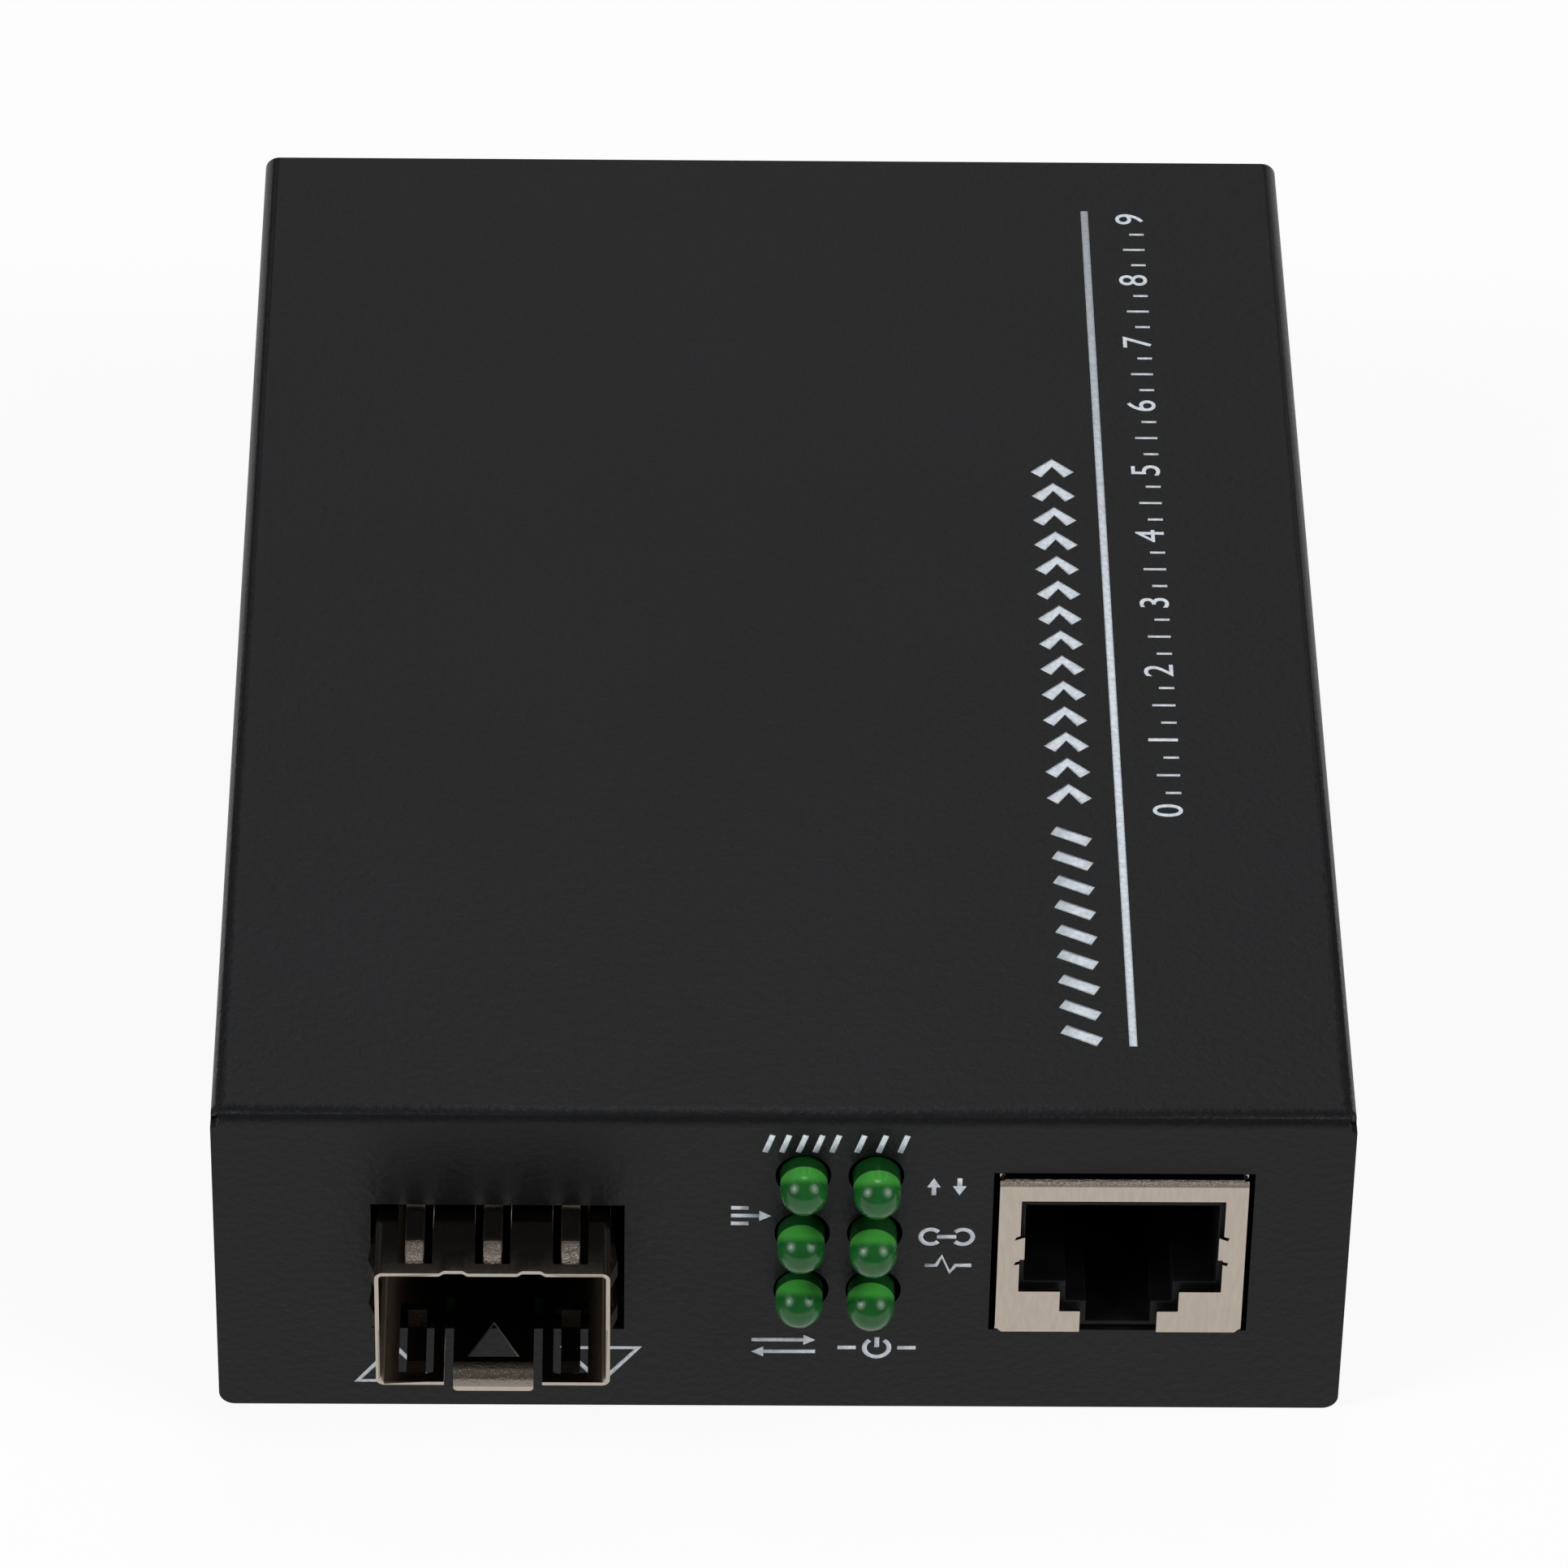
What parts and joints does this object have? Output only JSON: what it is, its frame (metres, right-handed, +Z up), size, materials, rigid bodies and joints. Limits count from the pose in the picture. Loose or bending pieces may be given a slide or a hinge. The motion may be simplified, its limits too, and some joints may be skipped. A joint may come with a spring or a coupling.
{
  "type": "fibre media converter",
  "caption": "Folded steel box that joins a fibre network line to a copper one: module cage, status lights and network socket in front, power inlet at the back.",
  "frame": {"origin": "middle of the case's footprint, on the surface the case stands on", "axes": "+Z up, -Y out of the front panel that holds the ports and lights, +X to the right seen from the front"},
  "size_m": [0.0706, 0.1056, 0.0245],
  "materials": {
    "case_paint": "fine-textured dark grey powder coat",
    "nickel": "bright nickel plate on thin sheet",
    "screw_steel": "black zinc plate",
    "board": "green solder mask on glass laminate",
    "black_plastic": "moulded, fine matt",
    "gold_contact": "gold flash on spring metal",
    "tin_lead": "tinned",
    "green_lens": "diffused green moulding",
    "can_metal": "drawn can"
  },
  "bodies": {
    "root": {"cover": "case_paint", "base": "case_paint", "case_screws": "screw_steel", "circuit_board": "board", "board_standoffs": "tin_lead", "board_screws": "tin_lead", "sfp_cage": "nickel", "sfp_connector": "black_plastic", "sfp_contacts": "gold_contact", "rj45_shield": "nickel", "rj45_housing": "black_plastic", "rj45_contacts": "gold_contact", "led_left_bottom": "green_lens", "led_left_middle": "green_lens", "led_left_top": "green_lens", "led_right_bottom": "green_lens", "led_right_middle": "green_lens", "led_right_top": "green_lens", "led_holder": "black_plastic", "led_leads": "tin_lead", "dc_jack_housing": "black_plastic", "dc_jack_pin": "tin_lead", "line_transformer": "black_plastic", "transformer_pins": "tin_lead", "converter_chip": "black_plastic", "chip_pins": "tin_lead", "crystal": "can_metal", "power_inductor": "black_plastic", "filter_capacitors": "can_metal", "voltage_regulator": "black_plastic"}
  },
  "joints": []
}
